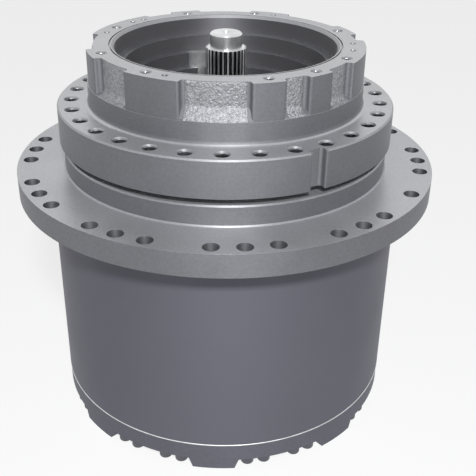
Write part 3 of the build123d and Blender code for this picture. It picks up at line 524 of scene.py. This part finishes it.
def skin_path(rise):
    """Section of a pocket from its top down the wall, round the foot and out over the floor."""
    top = Vector((pocket_radius, motor_face_z - skin_top_margin))
    corner = Vector((pocket_radius, collar_top_z + rise * MM))
    outer = Vector((collar_radius, collar_top_z))
    outward = (outer - corner).normalized()
    downward = Vector((0.0, -1.0))
    bend = math.acos(max(-1.0, min(1.0, downward.dot(outward))))
    reach = skin_foot_radius * math.tan(bend / 2)
    start = corner - downward * reach
    finish = corner + outward * reach
    middle = start + Vector((skin_foot_radius, 0.0))
    path = []
    count = math.ceil((top - start).length / skin_row_height)
    path += [top.lerp(start, index / count) for index in range(count)]
    count = math.ceil(skin_foot_radius * bend / skin_row_height)
    for index in range(count):
        turn = math.pi + bend * index / count
        path.append(middle + skin_foot_radius * Vector((math.cos(turn), math.sin(turn))))
    edge = outer - outward * skin_edge_margin
    count = math.ceil((edge - finish).length / skin_row_height)
    path += [finish.lerp(edge, index / count) for index in range(count + 1)]
    return path


def add_pocket_skins(material):
    """Lays a rough cast skin over the wall and floor of each pocket."""
    for number, (start, end, rise) in enumerate(pockets, start=1):
        path = skin_path(rise)
        first = start + skin_end_margin
        last = end - skin_end_margin
        columns = math.ceil((last - first) / skin_column_angle)
        points = []
        for column in range(columns + 1):
            angle = first + (last - first) * column / columns
            aside = min(angle - first, last - angle) * math.radians(1) * pocket_radius
            for row, (radius, height) in enumerate(path):
                before = path[max(row - 1, 0)]
                after = path[min(row + 1, len(path) - 1)]
                along = (after - before).normalized()
                border = min(aside, row * skin_row_height, (len(path) - 1 - row) * skin_row_height)
                share = min(1.0, border / skin_border)
                spot = round_place(radius, angle, height) / skin_grain_size
                bumps = noise.fractal(spot, bump_weight, bump_step, bump_octaves)
                lift = skin_lift + skin_grain * share * (0.5 + 0.5 * bumps)
                points.append(round_place(radius - along.y * lift, angle, height + along.x * lift))
        rows = len(path)
        faces = [(column * rows + row, column * rows + row + 1, (column + 1) * rows + row + 1,
                  (column + 1) * rows + row)
                 for column in range(columns) for row in range(rows - 1)]
        add_piece(f"cast_pocket_{number}", points, faces, material, "spindle")


def add_threads(name, circle, angles, top, core_radius, pitch, turns, material):
    """Winds a thread down each tapped hole of a ring of holes."""
    points = []
    faces = []
    steps = turns * thread_segments
    for angle in angles:
        axis = round_place(circle, angle)
        first = len(points)
        for step in range(steps + 1):
            drop = pitch * step / thread_segments
            turn = 360.0 * step / thread_segments
            root = core_radius - thread_clearance
            points.append(axis + round_place(root, turn, top - drop))
            points.append(axis + round_place(root - thread_depth, turn, top - drop - pitch / 2))
        for step in range(steps):
            here = first + 2 * step
            faces.append((here, here + 1, here + 3, here + 2))
            if step + thread_segments < steps:
                below = here + 2 * thread_segments
                faces.append((here + 1, below, below + 2, here + 3))
    add_piece(name, points, faces, material, "spindle")


def screw_sections():
    """Sections of a screw from its tip to its socket's floor: radius, height, hexagonal or round."""
    shoulder = cover_face_z
    base = cover_face_z - head_height
    return [
        (screw_radius - screw_tip, shoulder + screw_reach, False),
        (screw_radius, shoulder + screw_reach - screw_tip, False),
        (screw_radius, shoulder, False),
        (head_radius, shoulder, False),
        (head_radius, base + head_edge, False),
        (head_radius - head_edge * head_round_share, base + head_edge * head_round_share, False),
        (head_radius - head_edge, base, False),
        (socket_mouth, base, False),
        (socket_radius, base + (socket_mouth - socket_radius) / 2, True),
        (socket_radius, base + socket_depth, True),
    ]


def add_cover_screws(material):
    """Draws the cover bolts in full, with their sockets."""
    points = []
    faces = []
    sections = screw_sections()
    places = [round_place(cover_bolt_circle, foot_first_angle + 360 * index / foot_count + offset)
              for index in range(foot_count) for offset in cover_bolt_offsets]
    for place in places:
        first = len(points)
        for radius, height, hexagonal in sections:
            for segment in range(screw_segments):
                angle = 360.0 * segment / screw_segments
                off_flat = (angle + hexagon_sector / 2) % hexagon_sector - hexagon_sector / 2
                stretch = 1 / math.cos(math.radians(off_flat)) if hexagonal else 1
                points.append(place + round_place(radius * stretch, angle, height))
        for ring in range(len(sections) - 1):
            for segment in range(screw_segments):
                here = first + ring * screw_segments + segment
                there = first + ring * screw_segments + (segment + 1) % screw_segments
                faces.append((here, here + screw_segments, there + screw_segments, there))
        last = first + (len(sections) - 1) * screw_segments
        faces.append(tuple(range(first, first + screw_segments)))
        faces.append(tuple(range(last + screw_segments - 1, last - 1, -1)))
    piece = add_piece("cover_socket_screws", points, faces, material, "drum")
    piece.data.set_sharp_from_angle(angle=math.radians(sharp_angle))
    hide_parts("cover_bolts")


def add_cover_lip(material):
    """A bright rolled edge where the cover meets the drum."""
    points = []
    for column in range(lip_segments):
        for row in range(lip_rows):
            turn = math.radians(lip_first_turn - lip_sweep * row / (lip_rows - 1))
            points.append(round_place(lip_radius + lip_size * math.cos(turn), 360.0 * column / lip_segments,
                                      drum_bottom_z + lip_size * (lip_lift + math.sin(turn))))
    faces = []
    for column in range(lip_segments):
        here = column * lip_rows
        there = (column + 1) % lip_segments * lip_rows
        faces += [(here + row, here + row + 1, there + row + 1, there + row) for row in range(lip_rows - 1)]
    add_piece("cover_lip", points, faces, material, "drum")


def set_camera():
    data = bpy.data.cameras.new("camera")
    data.lens = camera_lens
    data.sensor_width = camera_sensor
    camera = bpy.data.objects.new("camera", data)
    tilt = Matrix.Rotation(math.radians(90 - camera_pitch_down), 4, "X")
    roll = Matrix.Rotation(math.radians(camera_roll), 4, "Z")
    camera.matrix_world = Matrix.Translation(camera_place) @ tilt @ roll
    bpy.context.scene.collection.objects.link(camera)
    bpy.context.scene.camera = camera


def light_scene():
    """One frontal lamp, and a world that is white to the eye and in reflections."""
    data = bpy.data.lights.new("key", "AREA")
    data.size = key_size
    data.energy = key_power
    light = bpy.data.objects.new("key", data)
    light.location = key_place
    light.rotation_euler = (Vector(key_aim) - Vector(key_place)).to_track_quat("-Z", "Y").to_euler()
    bpy.context.scene.collection.objects.link(light)
    world = bpy.data.worlds.new("studio")
    world.use_nodes = True
    made = Nodes(world.node_tree)
    background = made.add("ShaderNodeBackground")
    strength = made.math("ADD", made.background(1.0 - fill_strength), fill_strength)
    made.join(strength, background.inputs["Strength"])
    made.join(background.outputs[0], made.add("ShaderNodeOutputWorld").inputs["Surface"])
    background.inputs["Color"].default_value = (1, 1, 1, 1)
    bpy.context.scene.world = world


def lay_floor():
    """A pale floor that takes the object's shadow."""
    size = floor_half_size
    mesh = bpy.data.meshes.new("floor")
    mesh.from_pydata([(-size, -size, 0), (size, -size, 0), (size, size, 0), (-size, size, 0)], [],
                     [(0, 1, 2, 3)])
    floor = bpy.data.objects.new("floor", mesh)
    bpy.context.scene.collection.objects.link(floor)
    material = bpy.data.materials.new("floor")
    material.use_nodes = True
    made = Nodes(material.node_tree)
    diffuse = made.add("ShaderNodeBsdfDiffuse")
    diffuse.inputs["Color"].default_value = (*floor_colour, 1)
    glow = made.add("ShaderNodeEmission")
    made.join(made.background(floor_glow), glow.inputs["Strength"])
    both = made.add("ShaderNodeAddShader")
    made.join(diffuse.outputs[0], both.inputs[0])
    made.join(glow.outputs[0], both.inputs[1])
    made.join(both.outputs[0], made.add("ShaderNodeOutputMaterial").inputs["Surface"])
    mesh.materials.append(material)


set_camera()
light_scene()
lay_floor()

spindle_iron = spindle_finish()
raw_casting = skin_finish()
thread_steel = plain("cut_thread", steel_colour, metallic=1.0, roughness=0.3)
gear_steel = plain("gear_steel", gear_colour, metallic=0.95, roughness=0.34)
ground_steel = plain("ground_steel", bright_steel_colour, metallic=1.0, roughness=0.26)
pin_steel = plain("pin_steel", bright_steel_colour, metallic=0.9, roughness=0.45)
carrier_iron = plain("carrier_iron", carrier_colour, metallic=0.8, roughness=0.45)
bronze = plain("bronze", bronze_colour, metallic=1.0, roughness=0.34)
rubber = plain("seal_rubber", rubber_colour, metallic=0.0, roughness=0.6)
bolt_steel = plain("bolt_steel", bolt_colour, metallic=0.7, roughness=0.5)

paint(spindle_iron, "spindle_housing")
paint(drum_finish(), "drum_housing")
paint(cover_finish(), "cover")
paint(shaft_finish(), "input_shaft")
paint(bolt_steel, "cover_bolts", "cover_plugs")
paint(gear_steel, "ring_gear", "stage_2_sun_gear",
      *[name for name in nodes if "_planet_" in name and "pins" not in name])
paint(carrier_iron, "stage_1_carrier", "stage_2_carrier")
paint(ground_steel, "ring_gear_pins", "stage_1_planet_pins", "stage_2_planet_pins", "stage_1_lock_pins",
      "stage_2_lock_pins", "carrier_snap_ring", "bearing_nut",
      *[name for name in nodes if name.startswith(("upper_", "lower_")) or name.endswith("_seal_ring")])
paint(pin_steel, "brake_locating_pin")
paint(bronze, "shaft_thrust_pad", "stage_1_thrust_washers", "stage_2_thrust_washers",
      *[name for name in nodes if "_bush_" in name])
paint(rubber, "cover_o_ring", *[name for name in nodes if name.endswith("_seal_rubber")])

add_pocket_skins(raw_casting)
frame_hole_angles = [frame_hole_first_angle + 360 * index / frame_hole_count
                     for index in range(frame_hole_count)]
add_threads("frame_hole_threads", frame_hole_circle, frame_hole_angles, frame_top_z - frame_thread_start,
            frame_hole_radius, frame_thread_pitch, frame_thread_turns, thread_steel)
add_threads("motor_hole_threads", motor_hole_circle, motor_hole_angles, motor_face_z - motor_thread_start,
            motor_hole_radius, motor_thread_pitch, motor_thread_turns, thread_steel)
add_threads("small_hole_threads", motor_hole_circle, small_hole_angles, motor_face_z - small_thread_start,
            small_hole_radius, small_thread_pitch, small_thread_turns, thread_steel)
add_cover_screws(bolt_steel)
add_cover_lip(pin_steel)

bpy.context.scene.view_settings.view_transform = "Standard"
